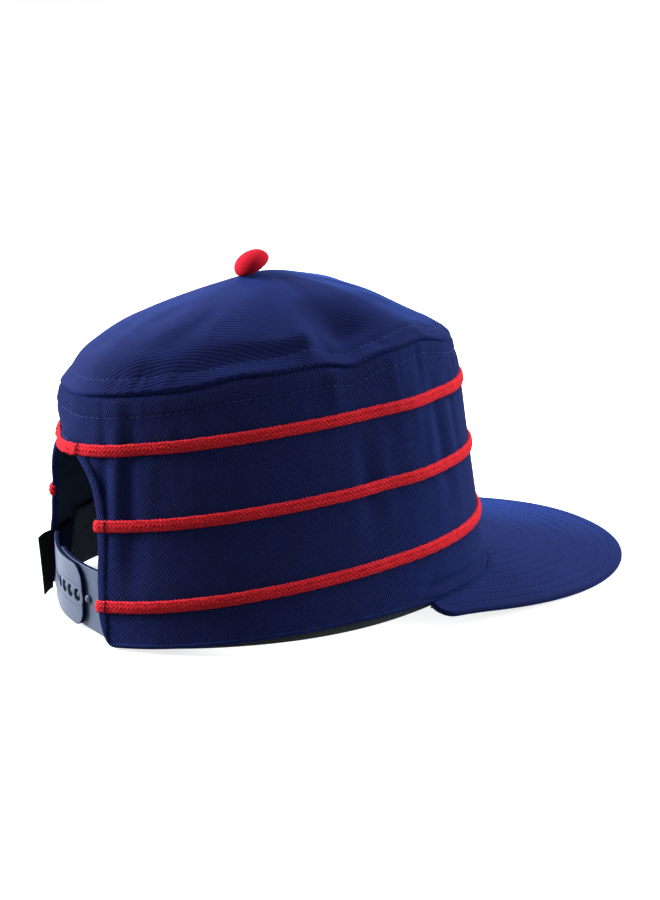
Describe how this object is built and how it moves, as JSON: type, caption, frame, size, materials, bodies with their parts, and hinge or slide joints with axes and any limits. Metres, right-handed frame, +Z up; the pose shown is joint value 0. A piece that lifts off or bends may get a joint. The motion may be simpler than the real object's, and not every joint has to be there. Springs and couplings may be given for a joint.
{
  "type": "snapback cap",
  "caption": "Flat-brimmed pillbox cap with a tented top, sewn round cords, a covered button and a snap strap across an arched rear opening.",
  "frame": {"origin": "on the surface the cap rests on, under the middle of its box", "axes": "+Z up through the crown, -Y towards the brim's tip, +X towards the wearer's left"},
  "size_m": [0.175, 0.2624, 0.1449],
  "materials": {
    "navy_twill": "matte cotton twill",
    "grey_cloth": "matte cloth",
    "red_cord": "soft flat braid",
    "red_button": "cloth-covered button",
    "grey_band": "matte cotton band",
    "blue_plastic": "satin flexible plastic",
    "black_label": "woven blank label"
  },
  "bodies": {
    "root": {"crown_side": "navy_twill", "crown_top": "navy_twill", "brim": "navy_twill", "brim_under": "grey_cloth", "cord_upper": "red_cord", "cord_middle": "red_cord", "cord_lower": "red_cord", "button": "red_button", "sweatband": "grey_band", "strap_left": "blue_plastic", "strap_right": "blue_plastic", "label_tab": "black_label"}
  },
  "joints": []
}
